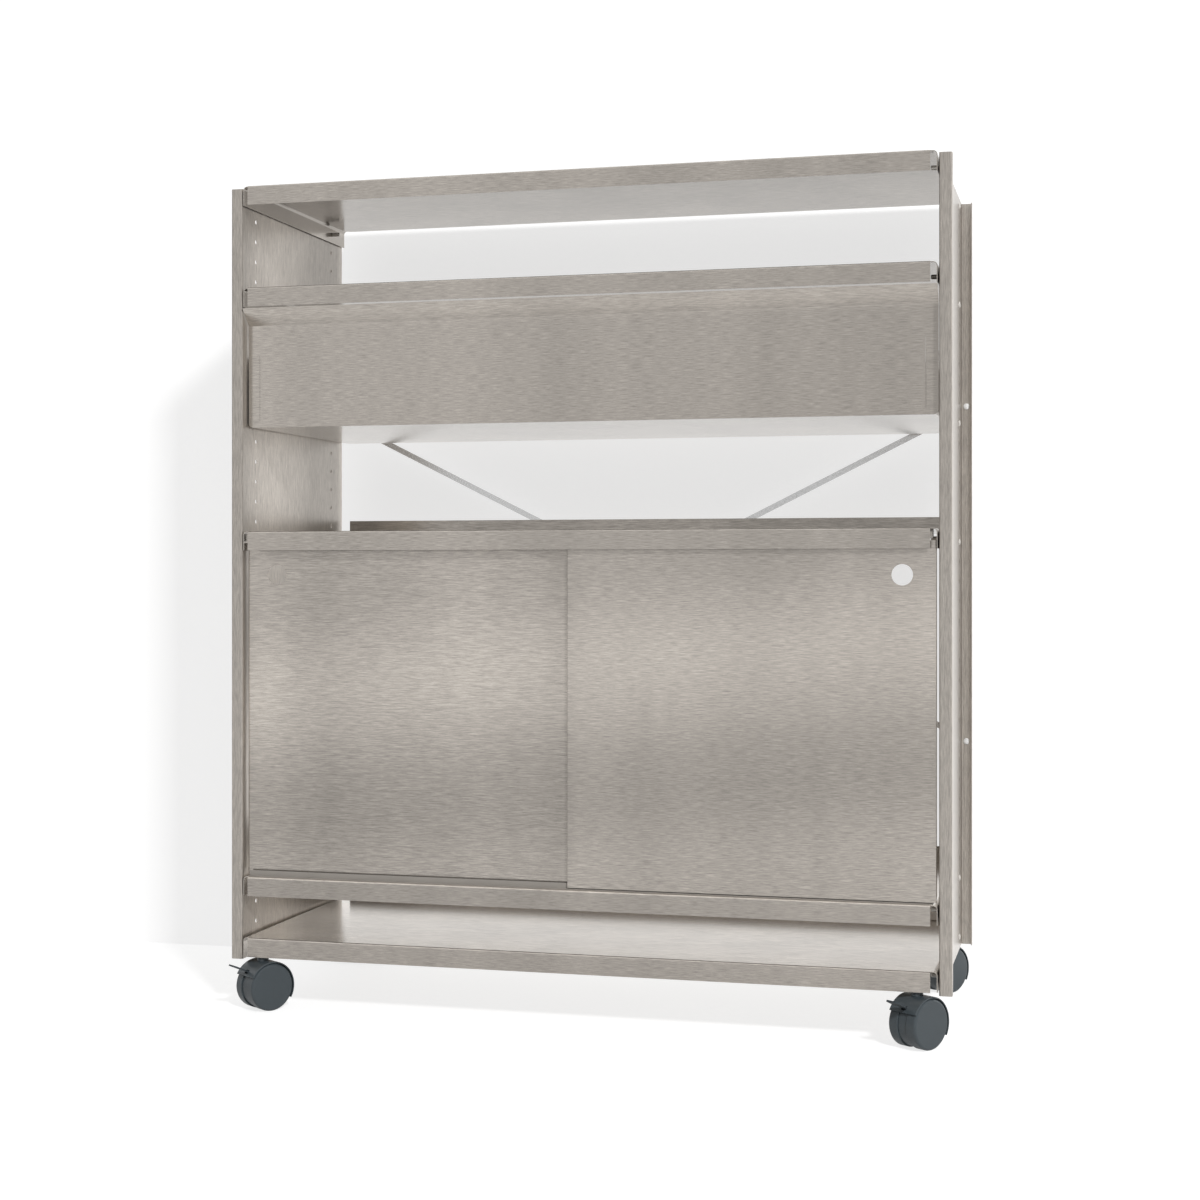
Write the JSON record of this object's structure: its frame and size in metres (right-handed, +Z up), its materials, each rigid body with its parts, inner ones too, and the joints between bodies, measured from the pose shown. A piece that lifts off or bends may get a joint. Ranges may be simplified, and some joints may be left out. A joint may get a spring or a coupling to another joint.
{
  "type": "highboard",
  "caption": "Open highboard of folded sheet steel on twin-wheel castors, with perforated side panels, tray shelves, a drawer, sliding doors and a cross brace.",
  "frame": {"origin": "on the floor below the middle of the carcass", "axes": "+X to the right seen from the front, +Y to the back, +Z up; the doors and the drawer face -Y"},
  "size_m": [1.126, 0.504, 1.324],
  "materials": {
    "sheet": "brushed",
    "pin": "turned",
    "brace": "drawn flat bar",
    "steel": "zinc plated",
    "glide_plastic": "moulded",
    "castor_plastic": "moulded"
  },
  "bodies": {
    "carcass": {"brace_bar_falling": "brace", "brace_bar_rising": "brace", "brace_bolts": "steel", "brace_nuts": "steel", "brace_sleeves": "steel", "castor_bushes": "steel", "castor_front_left_stem": "steel", "castor_front_right_stem": "steel", "castor_rear_left_stem": "steel", "castor_rear_right_stem": "steel", "door_track_lower": "glide_plastic", "door_track_upper": "glide_plastic", "drawer_carcass": "sheet", "pins_bottom": "pin", "pins_drawer": "pin", "pins_lower": "pin", "pins_middle": "pin", "pins_top": "pin", "pins_upper": "pin", "runner_left_fixed": "steel", "runner_right_fixed": "steel", "shelf_bottom": "sheet", "shelf_lower": "sheet", "shelf_middle": "sheet", "shelf_top": "sheet", "shelf_upper": "sheet", "side_panel_left": "sheet", "side_panel_right": "sheet"},
    "castor_front_left_swivel": {"castor_front_left_housing": "castor_plastic", "castor_front_left_axle": "steel", "castor_front_left_pivot": "steel"},
    "castor_front_left_wheel_left_body": {"castor_front_left_wheel_left": "castor_plastic"},
    "castor_front_left_wheel_right_body": {"castor_front_left_wheel_right": "castor_plastic"},
    "castor_front_left_brake": {"castor_front_left_lever": "castor_plastic"},
    "castor_front_right_swivel": {"castor_front_right_housing": "castor_plastic", "castor_front_right_axle": "steel", "castor_front_right_pivot": "steel"},
    "castor_front_right_wheel_left_body": {"castor_front_right_wheel_left": "castor_plastic"},
    "castor_front_right_wheel_right_body": {"castor_front_right_wheel_right": "castor_plastic"},
    "castor_front_right_brake": {"castor_front_right_lever": "castor_plastic"},
    "castor_rear_left_swivel": {"castor_rear_left_housing": "castor_plastic", "castor_rear_left_axle": "steel"},
    "castor_rear_left_wheel_left_body": {"castor_rear_left_wheel_left": "castor_plastic"},
    "castor_rear_left_wheel_right_body": {"castor_rear_left_wheel_right": "castor_plastic"},
    "castor_rear_right_swivel": {"castor_rear_right_housing": "castor_plastic", "castor_rear_right_axle": "steel"},
    "castor_rear_right_wheel_left_body": {"castor_rear_right_wheel_left": "castor_plastic"},
    "castor_rear_right_wheel_right_body": {"castor_rear_right_wheel_right": "castor_plastic"},
    "drawer": {"drawer_box": "sheet", "drawer_front": "sheet", "runner_left_moving": "steel", "runner_right_moving": "steel"},
    "sliding_door_left": {"door_left": "sheet", "door_left_glides": "glide_plastic"},
    "sliding_door_right": {"door_right": "sheet", "door_right_glides": "glide_plastic"}
  },
  "joints": [
    {"name": "front_left_swivel", "type": "hinge", "parent": "carcass", "child": "castor_front_left_swivel", "pos_m": [-0.512, -0.202, 0.07], "axis": [0, 0, 1], "continuous": true},
    {"name": "front_left_wheel_left_roll", "type": "hinge", "parent": "castor_front_left_swivel", "child": "castor_front_left_wheel_left_body", "pos_m": [-0.51057, -0.19995, 0.037], "axis": [-0.8192, 0.5736, 0], "continuous": true},
    {"name": "front_left_wheel_right_roll", "type": "hinge", "parent": "castor_front_left_swivel", "child": "castor_front_left_wheel_right_body", "pos_m": [-0.51057, -0.19995, 0.037], "axis": [-0.8192, 0.5736, 0], "continuous": true},
    {"name": "front_left_brake", "type": "hinge", "parent": "castor_front_left_swivel", "child": "castor_front_left_brake", "pos_m": [-0.52658, -0.22283, 0.06127], "axis": [0.8192, -0.5736, 0], "range_deg": [0, 18]},
    {"name": "front_right_swivel", "type": "hinge", "parent": "carcass", "child": "castor_front_right_swivel", "pos_m": [0.512, -0.202, 0.07], "axis": [0, 0, 1], "continuous": true},
    {"name": "front_right_wheel_left_roll", "type": "hinge", "parent": "castor_front_right_swivel", "child": "castor_front_right_wheel_left_body", "pos_m": [0.51343, -0.19995, 0.037], "axis": [-0.8192, 0.5736, 0], "continuous": true},
    {"name": "front_right_wheel_right_roll", "type": "hinge", "parent": "castor_front_right_swivel", "child": "castor_front_right_wheel_right_body", "pos_m": [0.51343, -0.19995, 0.037], "axis": [-0.8192, 0.5736, 0], "continuous": true},
    {"name": "front_right_brake", "type": "hinge", "parent": "castor_front_right_swivel", "child": "castor_front_right_brake", "pos_m": [0.49742, -0.22283, 0.06127], "axis": [0.8192, -0.5736, 0], "range_deg": [0, 18]},
    {"name": "rear_left_swivel", "type": "hinge", "parent": "carcass", "child": "castor_rear_left_swivel", "pos_m": [-0.512, 0.202, 0.07], "axis": [0, 0, 1], "continuous": true},
    {"name": "rear_left_wheel_left_roll", "type": "hinge", "parent": "castor_rear_left_swivel", "child": "castor_rear_left_wheel_left_body", "pos_m": [-0.51057, 0.20405, 0.037], "axis": [-0.8192, 0.5736, 0], "continuous": true},
    {"name": "rear_left_wheel_right_roll", "type": "hinge", "parent": "castor_rear_left_swivel", "child": "castor_rear_left_wheel_right_body", "pos_m": [-0.51057, 0.20405, 0.037], "axis": [-0.8192, 0.5736, 0], "continuous": true},
    {"name": "rear_right_swivel", "type": "hinge", "parent": "carcass", "child": "castor_rear_right_swivel", "pos_m": [0.512, 0.202, 0.07], "axis": [0, 0, 1], "continuous": true},
    {"name": "rear_right_wheel_left_roll", "type": "hinge", "parent": "castor_rear_right_swivel", "child": "castor_rear_right_wheel_left_body", "pos_m": [0.51343, 0.20405, 0.037], "axis": [-0.8192, 0.5736, 0], "continuous": true},
    {"name": "rear_right_wheel_right_roll", "type": "hinge", "parent": "castor_rear_right_swivel", "child": "castor_rear_right_wheel_right_body", "pos_m": [0.51343, 0.20405, 0.037], "axis": [-0.8192, 0.5736, 0], "continuous": true},
    {"name": "drawer_slide", "type": "slide", "parent": "carcass", "child": "drawer", "axis": [0, -1, 0], "range_m": [0, 0.3]},
    {"name": "door_left_slide", "type": "slide", "parent": "carcass", "child": "sliding_door_left", "axis": [1, 0, 0], "range_m": [0, 0.526]},
    {"name": "door_right_slide", "type": "slide", "parent": "carcass", "child": "sliding_door_right", "axis": [-1, 0, 0], "range_m": [0, 0.526]}
  ]
}
